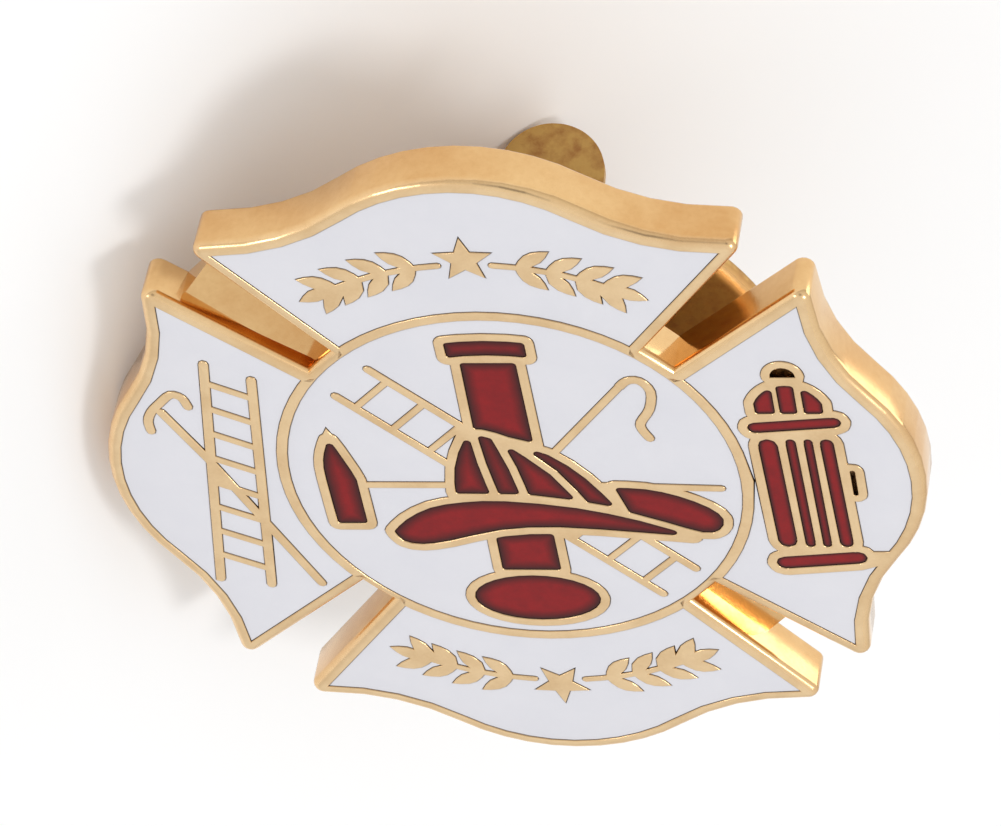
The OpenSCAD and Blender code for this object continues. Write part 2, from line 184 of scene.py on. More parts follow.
class EnamelSettings(bpy.types.PropertyGroup):
    rounding: FloatProperty(
        name="Rounding", description="Width of the rounded edge of each field of enamel",
        default=0.02 * MM, min=0.01 * MM, max=0.05 * MM, unit="LENGTH", precision=6,
    )
    reach: FloatProperty(
        name="Reach", description="How far the enamel runs into the gap round its solid",
        default=0.02 * MM, min=0, max=0.024 * MM, unit="LENGTH", precision=6,
    )
    # The width of the painted shade inside the red enamel's edge
    border: FloatProperty(
        name="Border", description="Width of the dark border inside the red enamel's edge",
        default=0.28 * MM, min=0.02 * MM, max=0.4 * MM, unit="LENGTH", precision=6,
    )
    white: FloatVectorProperty(
        name="White", description="Colour of the white enamel", subtype="COLOR",
        default=(0.75, 0.745, 0.785), min=0, max=1,
    )
    white_cloud: FloatVectorProperty(
        name="White's clouds", description="Colour of the clouds in the white", subtype="COLOR",
        default=(0.70, 0.70, 0.75), min=0, max=1,
    )
    # Painted shade: the white turns towards this colour round its rounded edge by the metal
    white_edge_shade: FloatVectorProperty(
        name="White's edge", description="Colour of the white by the metal", subtype="COLOR",
        default=(0.42, 0.42, 0.44), min=0, max=1,
    )
    red: FloatVectorProperty(
        name="Red", description="Colour of the red enamel", subtype="COLOR",
        default=(0.27, 0.0105, 0.0125), min=0, max=1,
    )
    red_cloud: FloatVectorProperty(
        name="Red's clouds", description="Colour of the clouds in the red", subtype="COLOR",
        default=(0.17, 0.010, 0.012), min=0, max=1,
    )
    # Painted shade: the red turns towards this colour within the border by the metal
    red_edge_shade: FloatVectorProperty(
        name="Red's edge", description="Colour of the red by the metal", subtype="COLOR",
        default=(0.045, 0.010, 0.010), min=0, max=1,
    )


class ClutchSettings(bpy.types.PropertyGroup):
    steps: IntProperty(
        name="Steps round", description="Steps round the disc, and twice those round the hub",
        default=128, min=48, max=256,
    )
    brass: FloatVectorProperty(
        name="Brass", description="Colour of the clutch's bright brass", subtype="COLOR",
        default=(0.54, 0.32, 0.085), min=0, max=1,
    )
    tarnish: FloatVectorProperty(
        name="Tarnish", description="Colour of the clutch's dull patches", subtype="COLOR",
        default=(0.36, 0.155, 0.042), min=0, max=1,
    )
    # Painted highlight: a brighter colour along the front of the disc's turned edge
    rubbed: FloatVectorProperty(
        name="Rubbed brass", description="Colour of the bare brass at the cup's edge",
        subtype="COLOR", default=(0.88, 0.52, 0.2), min=0, max=1,
    )


class StageSettings(bpy.types.PropertyGroup):
    lens: FloatProperty(
        name="Lens", description="Focal length of the camera",
        default=208.7, min=50, max=400, unit="CAMERA",
    )
    light: FloatProperty(
        name="Light", description="Strength of the light from all round",
        default=0.86, min=0, max=3,
    )
    floor: FloatVectorProperty(
        name="Floor", description="Colour of the floor", subtype="COLOR",
        default=(0.98, 0.98, 0.98), min=0, max=1,
    )


class PinSettings(bpy.types.PropertyGroup):
    plate: PointerProperty(
        type=PlateSettings, name="Plate", description="Sizes and colours of the plate",
    )
    enamel: PointerProperty(
        type=EnamelSettings, name="Enamel", description="Sizes and colours of the enamel",
    )
    clutch: PointerProperty(
        type=ClutchSettings, name="Clutch", description="Steps and colours of the clutch",
    )
    stage: PointerProperty(
        type=StageSettings, name="Stage", description="Camera, light and floor",
    )


def solid_mesh(node):
    """A node's points in the flat drawing and its triangles, with its loose corners made one."""
    work = bmesh.new()
    work.from_mesh(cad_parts[node].data)
    bmesh.ops.remove_doubles(work, verts=work.verts, dist=WELD)
    merged = bpy.data.meshes.new("merged")
    work.to_mesh(merged)
    work.free()
    merged.calc_loop_triangles()
    points = np.empty(3 * len(merged.vertices))
    merged.vertices.foreach_get("co", points)
    corners = np.empty(3 * len(merged.loop_triangles), dtype=np.int32)
    merged.loop_triangles.foreach_get("vertices", corners)
    bpy.data.meshes.remove(merged)
    return to_flat(points.reshape(-1, 3)), corners.reshape(-1, 3).astype(np.int64)


def open_edges(triangles):
    """The directed edges of the triangles that no other of them runs back along."""
    edges = np.concatenate([triangles[:, [0, 1]], triangles[:, [1, 2]], triangles[:, [2, 0]]])
    count = edges.max() + 1
    there = edges[:, 0] * count + edges[:, 1]
    back = edges[:, 1] * count + edges[:, 0]
    return edges[~np.isin(there, back)]


def mitres(points, edges, side):
    """For each point on the edges, the step that takes it one mm into the surface from both of
    its edges: with their inward normals a and b it is (a + b) / (1 + a.b), kept short at sharp
    corners. The side is 1 for a face that looks out of the drawing and -1 for one that looks in."""
    along = points[edges[:, 1], :2] - points[edges[:, 0], :2]
    along /= np.linalg.norm(along, axis=1)[:, None]
    inward = side * np.stack([-along[:, 1], along[:, 0]], axis=1)
    before = np.zeros((len(points), 2))
    after = np.zeros((len(points), 2))
    before[edges[:, 1]] = inward
    after[edges[:, 0]] = inward
    share = 1 + (before * after).sum(axis=1)
    return (before + after) / np.maximum(share, 0.5)[:, None]


def rounded_cap(points, triangles, side, radius, steps, reach=0.0):
    """A flat face whose open edges turn down in a quarter circle. At the angle t from the face, a
    point of the edge lies radius (1 - sin t) - reach inside it and radius (1 - cos t) below it.
    Gives the rings of points, of which the first carries the face's own triangles, the band's
    quads, how far round each point is, from 0 to 1, and the edges that are rounded."""
    edges = open_edges(triangles)
    edges = edges[radius[edges].min(axis=1) > 0]
    angle = np.linspace(0, math.pi / 2, steps + 1)[:, None]
    step = mitres(points, edges, side)
    rings = np.repeat(points[None], steps + 1, axis=0)
    rings[:, :, :2] += (radius * (1 - np.sin(angle)) - reach)[:, :, None] * step[None]
    rings[:, :, 2] -= side * radius * (1 - np.cos(angle))
    here = (np.arange(steps) * len(points))[:, None]
    start, end = edges[:, 0][None], edges[:, 1][None]
    below = here + len(points)
    band = np.stack([here + end, here + start, below + start, below + end], axis=2).reshape(-1, 4)
    turned = np.repeat(angle / (math.pi / 2), len(points), axis=1).ravel()
    return rings.reshape(-1, 3), band, turned, edges


def wall(points, edges, top, bottom):
    """Upright quads under the edges, from the height top to the height bottom of each point."""
    count = len(points)
    upper, lower = points.copy(), points.copy()
    upper[:, 2] = top
    lower[:, 2] = bottom
    start, end = edges.T
    quads = np.stack([end, start, start + count, end + count], axis=1)
    return np.concatenate([upper, lower]), quads


def revolved(profile, steps):
    """A closed profile of (r, z) carried round the post: each point stands at
    (r cos a, r sin a, z) for the angles a from 0 to 360 degrees."""
    angle = np.arange(steps) * (2 * math.pi / steps)
    count = len(profile)
    points = np.empty((steps, count, 3))
    points[:, :, 0] = np.cos(angle)[:, None] * profile[:, 0]
    points[:, :, 1] = np.sin(angle)[:, None] * profile[:, 0]
    points[:, :, 2] = profile[:, 1]
    return points.reshape(-1, 3), ring_quads(steps, count)


def ring_quads(rows, columns):
    """The quads of a grid that closes on itself both ways."""
    row, column = np.meshgrid(np.arange(rows), np.arange(columns), indexing="ij")
    next_row, next_column = (row + 1) % rows, (column + 1) % columns
    corners = [row * columns + column, row * columns + next_column,
               next_row * columns + next_column, next_row * columns + column]
    return np.stack(corners, axis=2).reshape(-1, 4)


def through(knots, steps):
    """A smooth line through knots: between b and c, with a before and d after, it is the cubic
    (2b + (c-a)t + (2a-5b+4c-d)t^2 + (3b-a-3c+d)t^3) / 2."""
    knots = np.asarray(knots, dtype=float)
    padded = np.concatenate([knots[:1], knots, knots[-1:]])
    a, b, c, d = padded[:-3, None], padded[1:-2, None], padded[2:-1, None], padded[3:, None]
    t = (np.arange(steps) / steps)[None, :, None]
    square, cube = 2 * a - 5 * b + 4 * c - d, 3 * b - a - 3 * c + d
    places = (2 * b + (c - a) * t + square * t**2 + cube * t**3) / 2
    return np.concatenate([places.reshape(-1, knots.shape[1]), knots[-1:]])


def sheet_section(line, thickness, cap_steps=6):
    """The outline of a sheet of even thickness along a line of (r, z), with half-round ends: the
    line moved by half the thickness to each side along its normal, joined by arcs round its ends."""
    along = np.gradient(line, axis=0)
    along /= np.linalg.norm(along, axis=1)[:, None]
    normal = np.stack([-along[:, 1], along[:, 0]], axis=1)
    half = thickness / 2
    swing = np.linspace(0, math.pi, cap_steps + 1)[1:-1, None]
    far_end = line[-1] + half * (np.cos(swing) * normal[-1] + np.sin(swing) * along[-1])
    near_end = line[0] - half * (np.cos(swing) * normal[0] + np.sin(swing) * along[0])
    return np.concatenate([line + half * normal, far_end, (line - half * normal)[::-1], near_end])


def make_piece(name, parts, material, node):
    """One closed mesh from parts that meet: each part is its points in the flat drawing, a list of
    arrays of faces, and its marks, which are numbers for each point that the material reads."""
    offset, places, faces = 0, [], []
    for points, grids, _ in parts:
        places.append(points)
        faces += [row for grid in grids for row in (grid + offset).tolist()]
        offset += len(points)
    mesh = bpy.data.meshes.new(name)
    mesh.from_pydata(to_world(np.concatenate(places)).tolist(), [], faces)
    for key in sorted({key for _, _, marks in parts for key in marks}):
        values = [np.broadcast_to(marks.get(key, 0.0), len(points)) for points, _, marks in parts]
        layer = mesh.attributes.new(key, "FLOAT", "POINT")
        layer.data.foreach_set("value", np.concatenate(values).astype(np.float32))
    work = bmesh.new()
    work.from_mesh(mesh)
    bmesh.ops.delete(work, geom=[v for v in work.verts if not v.link_faces], context="VERTS")
    bmesh.ops.remove_doubles(work, verts=work.verts, dist=WELD)
    bmesh.ops.dissolve_degenerate(work, edges=work.edges, dist=WELD)
    work.to_mesh(mesh)
    work.free()
    mesh.polygons.foreach_set("use_smooth", np.ones(len(mesh.polygons), dtype=bool))
    mesh.set_sharp_from_angle(angle=SHARP)
    mesh.materials.append(material)
    piece = bpy.data.objects.new(name, mesh)
    bpy.context.scene.collection.objects.link(piece)
    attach(piece, "root")
    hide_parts(node)
    return piece


def node_in(tree, kind, x, y, **values):
    """A new node at (x, y), with plain properties set by name and sockets by their label."""
    made = tree.nodes.new(kind)
    made.location = (x, y)
    for key, value in values.items():
        if hasattr(made, key):
            setattr(made, key, value)
        else:
            made.inputs[key.replace("_", " ")].default_value = value
    return made


def new_group(name, inputs, outputs):
    """An empty shader node group with named sockets: its inputs are given as (label, kind,
    default), and its outputs as (label, kind)."""
    tree = bpy.data.node_groups.new(name, "ShaderNodeTree")
    for label, kind, default in inputs:
        socket = tree.interface.new_socket(label, in_out="INPUT", socket_type=kind)
        socket.default_value = default
    for label, kind in outputs:
        tree.interface.new_socket(label, in_out="OUTPUT", socket_type=kind)
    return tree, node_in(tree, "NodeGroupInput", -900, 0), node_in(tree, "NodeGroupOutput", 700, 0)


def group_in(tree, group, x, y, **values):
    """A node that places a group in a material, with its inputs set by their labels."""
    return node_in(tree, "ShaderNodeGroup", x, y, node_tree=group, **values)


def metal_group():
    """Worn metal: two colours and two roughnesses mixed by broad soft patches and by a fine grain,
    and the grain's height."""
    if "Worn metal" in bpy.data.node_groups:
        return bpy.data.node_groups["Worn metal"]
    tree, given, result = new_group(
        "Worn metal",
        [("Bright", "NodeSocketColor", (0.8, 0.5, 0.2, 1)),
         ("Dull", "NodeSocketColor", (0.4, 0.2, 0.1, 1)),
         ("Patch scale", "NodeSocketFloat", 400.0), ("Patch amount", "NodeSocketFloat", 0.5),
         ("Grain scale", "NodeSocketFloat", 9000.0), ("Smooth", "NodeSocketFloat", 0.2),
         ("Rough", "NodeSocketFloat", 0.4)],
        [("Color", "NodeSocketColor"), ("Roughness", "NodeSocketFloat"),
         ("Height", "NodeSocketFloat")],
    )
    link = tree.links.new
    place = node_in(tree, "ShaderNodeTexCoord", -900, 300)
    patch = node_in(tree, "ShaderNodeTexNoise", -600, 200, Detail=4.0, Roughness=0.6)
    grain = node_in(tree, "ShaderNodeTexNoise", -600, -150, Detail=3.0, Roughness=0.7)
    sharper = node_in(tree, "ShaderNodeMapRange", -380, 200, From_Min=0.42, From_Max=0.68)
    amount = node_in(tree, "ShaderNodeMath", -160, 200, operation="MULTIPLY")
    speck = node_in(tree, "ShaderNodeMapRange", -380, -150, From_Min=0.3, From_Max=0.75)
    both = node_in(tree, "ShaderNodeMath", -160, -60, operation="MULTIPLY_ADD")
    both.inputs[1].default_value = 0.18  # the grain's share beside the patches
    mix = node_in(tree, "ShaderNodeMix", 120, 260, data_type="RGBA")
    rough = node_in(tree, "ShaderNodeMapRange", 120, 0)
    for texture, scale in ((patch, "Patch scale"), (grain, "Grain scale")):
        link(place.outputs["Object"], texture.inputs["Vector"])
        link(given.outputs[scale], texture.inputs["Scale"])
    link(patch.outputs["Fac"], sharper.inputs["Value"])
    link(sharper.outputs["Result"], amount.inputs[0])
    link(given.outputs["Patch amount"], amount.inputs[1])
    link(grain.outputs["Fac"], speck.inputs["Value"])
    link(speck.outputs["Result"], both.inputs[0])
    link(amount.outputs[0], both.inputs[2])
    link(both.outputs[0], mix.inputs["Factor"])
    link(given.outputs["Bright"], mix.inputs["A"])
    link(given.outputs["Dull"], mix.inputs["B"])
    link(both.outputs[0], rough.inputs["Value"])
    link(given.outputs["Smooth"], rough.inputs["To Min"])
    link(given.outputs["Rough"], rough.inputs["To Max"])
    link(mix.outputs["Result"], result.inputs["Color"])
    link(rough.outputs["Result"], result.inputs["Roughness"])
    link(grain.outputs["Fac"], result.inputs["Height"])
    return tree


def enamel_group():
    """Fired enamel: a body colour with faint clouds and specks, a darker colour of painted shade at
    the metal's edge, and the slow waves of its ground and fired surface."""
    if "Fired enamel" in bpy.data.node_groups:
        return bpy.data.node_groups["Fired enamel"]
    tree, given, result = new_group(
        "Fired enamel",
        [("Body", "NodeSocketColor", (0.7, 0.7, 0.7, 1)),
         ("Cloud", "NodeSocketColor", (0.6, 0.6, 0.6, 1)),
         ("Rim", "NodeSocketColor", (0.3, 0.3, 0.3, 1)), ("Edge", "NodeSocketFloat", 0.0),
         ("Cloud scale", "NodeSocketFloat", 900.0), ("Cloud amount", "NodeSocketFloat", 0.3)],
        [("Color", "NodeSocketColor"), ("Roughness", "NodeSocketFloat"),
         ("Height", "NodeSocketFloat")],
    )
    link = tree.links.new
    place = node_in(tree, "ShaderNodeTexCoord", -900, 300)
    cloud = node_in(tree, "ShaderNodeTexNoise", -600, 250, Detail=5.0, Roughness=0.65)
    wave = node_in(tree, "ShaderNodeTexNoise", -600, -200, Scale=260.0, Detail=1.0)
    spread = node_in(tree, "ShaderNodeMapRange", -380, 250, From_Min=0.35, From_Max=0.7)
    amount = node_in(tree, "ShaderNodeMath", -160, 250, operation="MULTIPLY")
    body = node_in(tree, "ShaderNodeMix", 60, 300, data_type="RGBA")
    rim = node_in(tree, "ShaderNodeMix", 300, 300, data_type="RGBA")
    rough = node_in(tree, "ShaderNodeMapRange", 300, 0, To_Min=0.08, To_Max=0.16)
    link(place.outputs["Object"], cloud.inputs["Vector"])
    link(place.outputs["Object"], wave.inputs["Vector"])
    link(given.outputs["Cloud scale"], cloud.inputs["Scale"])
    link(cloud.outputs["Fac"], spread.inputs["Value"])
    link(spread.outputs["Result"], amount.inputs[0])
    link(given.outputs["Cloud amount"], amount.inputs[1])
    link(amount.outputs[0], body.inputs["Factor"])
    link(given.outputs["Body"], body.inputs["A"])
    link(given.outputs["Cloud"], body.inputs["B"])
    link(given.outputs["Edge"], rim.inputs["Factor"])
    link(body.outputs["Result"], rim.inputs["A"])
    link(given.outputs["Rim"], rim.inputs["B"])
    link(cloud.outputs["Fac"], rough.inputs["Value"])
    link(rim.outputs["Result"], result.inputs["Color"])
    link(rough.outputs["Result"], result.inputs["Roughness"])
    link(wave.outputs["Fac"], result.inputs["Height"])
    return tree


def new_material(name):
    """A material with its tree and its shader."""
    material = bpy.data.materials.new(name)
    material.use_nodes = True
    return material, material.node_tree, material.node_tree.nodes["Principled BSDF"]


def raise_bumps(tree, height, strength, distance):
    """A bump node from a height to the shader's normal. Its distance is in mm."""
    bump = node_in(tree, "ShaderNodeBump", -250, -350, Strength=strength, Distance=distance * MM)
    tree.links.new(height, bump.inputs["Height"])
    tree.links.new(bump.outputs["Normal"], tree.nodes["Principled BSDF"].inputs["Normal"])


def gilt_material(plate):
    """Gilt plate: polished walls, satin ground lines on the face and painted shade on the metal
    down in the grooves and cells beside the enamel."""
    material, tree, shader = new_material("gilt_plate")
    link = tree.links.new
    walls = group_in(
        tree, metal_group(), -900, 300,
        Bright=(*plate.polished, 1), Dull=(*plate.polished_worn, 1),
        Patch_scale=330.0, Patch_amount=0.45, Grain_scale=7000.0, Smooth=0.1, Rough=0.24,
    )
    lines = group_in(
        tree, metal_group(), -900, -50, Bright=(*plate.satin, 1), Dull=(*plate.satin_worn, 1),
        Patch_scale=900.0, Patch_amount=0.5, Grain_scale=14000.0, Smooth=0.3, Rough=0.46,
    )
    face = node_in(tree, "ShaderNodeAttribute", -900, 600, attribute_name="face")
    # The mark of painted shade down beside the enamel
    groove = node_in(tree, "ShaderNodeAttribute", -900, 800, attribute_name="groove")
    colour = node_in(tree, "ShaderNodeMix", -500, 250, data_type="RGBA")
    dark = node_in(tree, "ShaderNodeMix", -250, 300, data_type="RGBA")
    dark.inputs["B"].default_value = (*plate.groove, 1)
    rough = node_in(tree, "ShaderNodeMix", -500, -50)
    height = node_in(tree, "ShaderNodeMix", -500, -350)
    for mixed, output in ((colour, "Color"), (rough, "Roughness"), (height, "Height")):
        link(face.outputs["Fac"], mixed.inputs["Factor"])
        link(walls.outputs[output], mixed.inputs["A"])
        link(lines.outputs[output], mixed.inputs["B"])
    link(groove.outputs["Fac"], dark.inputs["Factor"])
    link(colour.outputs["Result"], dark.inputs["A"])
    link(dark.outputs["Result"], shader.inputs["Base Color"])
    link(rough.outputs["Result"], shader.inputs["Roughness"])
    raise_bumps(tree, height.outputs["Result"], strength=0.12, distance=0.01)
    shader.inputs["Metallic"].default_value = 1.0
    return material


def enamel_material(name, body, cloud, rim, cloud_scale, cloud_amount):
    """Glossy fired enamel with faint clouds, and painted shade where it meets the metal."""
    material, tree, shader = new_material(name)
    link = tree.links.new
    fired = group_in(
        tree, enamel_group(), -600, 200, Body=(*body, 1), Cloud=(*cloud, 1), Rim=(*rim, 1),
        Cloud_scale=cloud_scale, Cloud_amount=cloud_amount,
    )
    # The edge mark brings in the colour of painted shade by the metal
    edge = node_in(tree, "ShaderNodeAttribute", -900, 200, attribute_name="edge")
    link(edge.outputs["Fac"], fired.inputs["Edge"])
    link(fired.outputs["Color"], shader.inputs["Base Color"])
    link(fired.outputs["Roughness"], shader.inputs["Roughness"])
    raise_bumps(tree, fired.outputs["Height"], strength=0.25, distance=0.02)
    shader.inputs["Specular IOR Level"].default_value = 0.2
    return material


def clutch_material(clutch):
    """Pressed brass that has gone dull and brown in patches, with a painted highlight and a
    smoother finish along the front of the disc's turned edge.
    """
    material, tree, shader = new_material("pressed_brass")
    link = tree.links.new
    worn = group_in(
        tree, metal_group(), -600, 200, Bright=(*clutch.brass, 1), Dull=(*clutch.tarnish, 1),
        Patch_scale=2600.0, Patch_amount=0.75, Grain_scale=6000.0, Smooth=0.42, Rough=0.68,
    )
    # The mark of the painted highlight along the disc's edge
    rubbed = node_in(tree, "ShaderNodeAttribute", -600, 500, attribute_name="rubbed")
    colour = node_in(tree, "ShaderNodeMix", -300, 300, data_type="RGBA")
    colour.inputs["B"].default_value = (*clutch.rubbed, 1)
    rough = node_in(tree, "ShaderNodeMix", -300, 0)
    rough.inputs["B"].default_value = 0.25  # the roughness along the disc's edge, under the painted highlight
    ways = ((colour, "Color", "Base Color"), (rough, "Roughness", "Roughness"))
    for mixed, output, socket in ways:
        link(rubbed.outputs["Fac"], mixed.inputs["Factor"])
        link(worn.outputs[output], mixed.inputs["A"])
        link(mixed.outputs["Result"], shader.inputs[socket])
    raise_bumps(tree, worn.outputs["Height"], strength=0.3, distance=0.03)
    shader.inputs["Metallic"].default_value = 0.5
    return material


class PIN_OT_plate(bpy.types.Operator):
    """Builds the gilt plate with its raised lines, its grooves and the post on its back"""

    bl_idname = "service_pin.plate"
    bl_label = "Plate"

    def execute(self, context):
        plate = context.scene.service_pin.plate
        points, triangles = solid_mesh("plate")
        height = points[:, 2]
        high = height[triangles].max(axis=1)
        low = height[triangles].min(axis=1)
        to_floor = np.abs(low - CELL_FLOOR) < FLAT
        is_floor = to_floor & (high < CELL_FLOOR + FLAT)
        is_cell_wall = to_floor & (high > -FLAT)
        is_side = (high > PLATE_BACK + FLAT) & (low < -FLAT) & ~is_floor & ~is_cell_wall
        face = triangles[low > -FLAT]
        floor = triangles[is_floor]
        sides = triangles[is_side]
        back = triangles[(np.abs(high - PLATE_BACK) < FLAT) & (np.abs(low - PLATE_BACK) < FLAT)]
        post = triangles[(high < PLATE_BACK + FLAT) & (low < PLATE_BACK - FLAT)]
        if min(len(face), len(floor), len(back), len(post), len(sides)) == 0:
            raise RuntimeError("the plate's solid isn't laid out as expected")
        outer = np.zeros(len(points), dtype=bool)
        outer[triangles[is_side & (high > -FLAT)]] = True
        radius = np.where(outer, plate.shoulder, plate.line_edge) / MM
        rings, band, turned, edges = rounded_cap(points, face, 1, radius, LINE_STEPS)
        # Painted shade: the raised lines' edges darken as they turn down beside the enamel; the
        # outer shoulder stays bright
        groove = np.clip((turned - GROOVE_SHADE_START) / (1 - GROOVE_SHADE_START), 0, 1)
        groove[np.tile(outer, LINE_STEPS + 1)] = 0
        parts = [(rings, [band, face], {"face": 1 - turned, "groove": groove})]
        # The outer walls run from the face's rounding to the back's, and the post's foot stays
        back_edge = plate.back_edge / MM
        away = np.hypot(points[:, 0], points[:, 1]) > FOOT_R + FLAT
        between = points.copy()
        between[:, 2] = np.where(height > -FLAT, -radius, height)
        between[(np.abs(height - PLATE_BACK) < FLAT) & away, 2] += back_edge
        parts.append((between, [sides], {}))
        # The cells' walls and floors carry the painted shade all over
        cell_walls, quads = wall(points, edges[~outer[edges].all(axis=1)], -radius, CELL_FLOOR)
        parts.append((cell_walls, [quads], {"groove": 1.0}))
        parts.append((points, [floor], {"groove": 1.0}))
        radius = np.where(away, back_edge, 0.0)
        rings, band, turned, _ = rounded_cap(points, back, -1, radius, BACK_STEPS)
        parts.append((rings, [band, back], {"face": BACK_SATIN * (1 - turned)}))
        parts.append((points, [post], {}))
        make_piece("gilt_plate", parts, gilt_material(plate), "plate")
        return {"FINISHED"}


def edge_distance(points, start, end):
    """For each point (x, y), how far it is from the nearest of the edges, and whether it lies
    inside them: then a line from it to the right crosses an odd number of them."""
    away = points[:, None] - start[None]
    along = (end - start)[None]
    share = np.clip((away * along).sum(axis=2) / (along**2).sum(axis=2), 0, 1)
    distance = np.linalg.norm(away - share[:, :, None] * along, axis=2).min(axis=1)
    height = points[:, 1][:, None]
    beside = (start[:, 1][None] > height) != (end[:, 1][None] > height)
    rise = np.where(along[:, :, 1] == 0, 1, along[:, :, 1])
    crossed = beside & (away[:, :, 0] < away[:, :, 1] * along[:, :, 0] / rise)
    return distance, crossed.sum(axis=1) % 2 == 1


def fine_cap(points, edges, spacing=0.05, row=0.866):
    """A level face inside closed outlines, cut into small triangles whose inner corners lie on a
    triangular grid: its rows are row times the spacing apart, and every other row is moved on by
    half the spacing. Gives its points, its triangles and how far each point is from the outlines."""
    used, corners = np.unique(edges, return_inverse=True)
    outline = points[used, :2]
    corners = corners.reshape(-1, 2)
    start, end = outline[corners[:, 0]], outline[corners[:, 1]]
    low, high = outline.min(axis=0), outline.max(axis=0)
    x, y = np.meshgrid(
        np.arange(low[0], high[0], spacing), np.arange(low[1], high[1], spacing * row)
    )
    x = x + spacing / 2 * (np.arange(len(x)) % 2)[:, None]
    grid = np.stack([x.ravel(), y.ravel()], axis=1)
    distance, inside = edge_distance(grid, start, end)
    grid = grid[inside & (distance > spacing / 2)]
    keep_inside, closeness = 1, 1e-7
    every = np.concatenate([outline, grid])
    made = delaunay_2d_cdt(every.tolist(), corners.tolist(), [], keep_inside, closeness)
    places = np.array(made[0])
    distance, _ = edge_distance(places, start, end)
    height = np.full((len(places), 1), points[used[0], 2])
    return np.concatenate([places, height], axis=1), np.array(made[2]), distance


def enamel_piece(colour, part, enamel, material, border=0.0):
    """A field or several of enamel: the solid's top with rounded edges, its walls and its
    underside. Its outline runs out by the setting reach into the gap that the solid keeps to the
    metal. With a border, in mm, its top carries painted shade that far in from its edge; without
    one, only its rounded rim carries painted shade."""
    node = f"enamel_{colour}_{part}"
    points, triangles = solid_mesh(node)
    high = points[triangles, 2].max(axis=1)
    low = points[triangles, 2].min(axis=1)
    top = triangles[np.abs(low - ENAMEL_TOP) < FLAT]
    bottom_height = points[:, 2].min()
    bottom = triangles[high < bottom_height + FLAT]
    radius = np.full(len(points), enamel.rounding / MM)
    reach = enamel.reach / MM
    rings, band, turned, edges = rounded_cap(points, top, 1, radius, ENAMEL_STEPS, reach)
    outward = mitres(points, open_edges(top), 1) + mitres(points, open_edges(bottom), -1)
    points[:, :2] -= reach * outward
    sides, quads = wall(points, edges, ENAMEL_TOP - radius, bottom_height)
    # The edge mark is painted shade: full on the walls and underside, and on the top a border or a
    # rim of it
    parts = [(sides, [quads], {"edge": 1.0}), (points, [bottom], {"edge": 1.0})]
    if border:
        places, small, distance = fine_cap(rings, edges)
        parts.append((rings, [band], {"edge": 1.0}))
        parts.append((places, [small], {"edge": np.clip(1 - distance / border, 0, 1)}))
    else:
        parts.append((rings, [band, top], {"edge": np.clip(turned * WHITE_EDGE_SHADE_RISE, 0, 1)}))
    make_piece(f"{colour}_{part}", parts, material, node)


class PIN_OT_white_enamel(bpy.types.Operator):
    """Builds the white enamel of the round centre and of the four arms"""

    bl_idname = "service_pin.white_enamel"
    bl_label = "White enamel"

    def execute(self, context):
        enamel = context.scene.service_pin.enamel
        material = enamel_material(
            "white_enamel", enamel.white, enamel.white_cloud, enamel.white_edge_shade,
            cloud_scale=700.0, cloud_amount=0.5,
        )
        for part in ("centre", "top", "right", "bottom", "left"):
            enamel_piece("white", part, enamel, material)
        return {"FINISHED"}


class PIN_OT_red_enamel(bpy.types.Operator):
    """Builds the red enamel of the helmet, the trumpet, the axe and the hydrant"""

    bl_idname = "service_pin.red_enamel"
    bl_label = "Red enamel"

    def execute(self, context):
        enamel = context.scene.service_pin.enamel
        material = enamel_material(
            "red_enamel", enamel.red, enamel.red_cloud, enamel.red_edge_shade,
            cloud_scale=2600.0, cloud_amount=0.6,
        )
        border = enamel.border / MM
        for part in ("helmet", "trumpet", "axe"):
            enamel_piece("red", part, enamel, material, border)
        enamel_piece("red", "hydrant", enamel, material, HYDRANT_SHADE_BORDER * border)
        return {"FINISHED"}


class PIN_OT_clutch_base(bpy.types.Operator):
    """Builds the clutch's pressed cup with its turned rim and raised seat"""

    bl_idname = "service_pin.clutch_base"
    bl_label = "Clutch base"

    def execute(self, context):
        clutch = context.scene.service_pin.clutch
        half = SHEET / 2
        seat = -SEAT + half
        flat = -DISC_FRONT - half
        edge = DISC_R - half
        # The sheet's middle line: the seat, the step up to the disc, and the disc's turned edge
        line = through(
            [(BORE_R + half, seat), (1.4, seat), (2.1, seat), (2.45, seat + 0.2), (2.75, flat),
             (3.4, flat), (4.8, flat), (edge - 0.3, flat), (edge - 0.1, flat - 0.05),
             (edge, -DISC_BACK + half)],
            steps=5,
        )
        points, quads = revolved(sheet_section(line, SHEET), clutch.steps)
        # A painted highlight along the front of the disc's turned edge, where it lies both far out
        # and in front
        far_out = np.clip((np.hypot(points[:, 0], points[:, 1]) - DISC_R + SHEET) / SHEET, 0, 1)
        in_front = np.clip((points[:, 2] + DISC_FRONT + SHEET) / SHEET, 0, 1)
        marks = {"rubbed": np.clip(EDGE_HIGHLIGHT_RISE * far_out * in_front, 0, 1)}
        cup = [(points, [quads], marks)]
        make_piece("clutch_cup", cup, clutch_brass(clutch), "clutch_base")
        return {"FINISHED"}


def clutch_brass(clutch):
    """The clutch's one material, made when it is first asked for."""
    return bpy.data.materials.get("pressed_brass") or clutch_material(clutch)


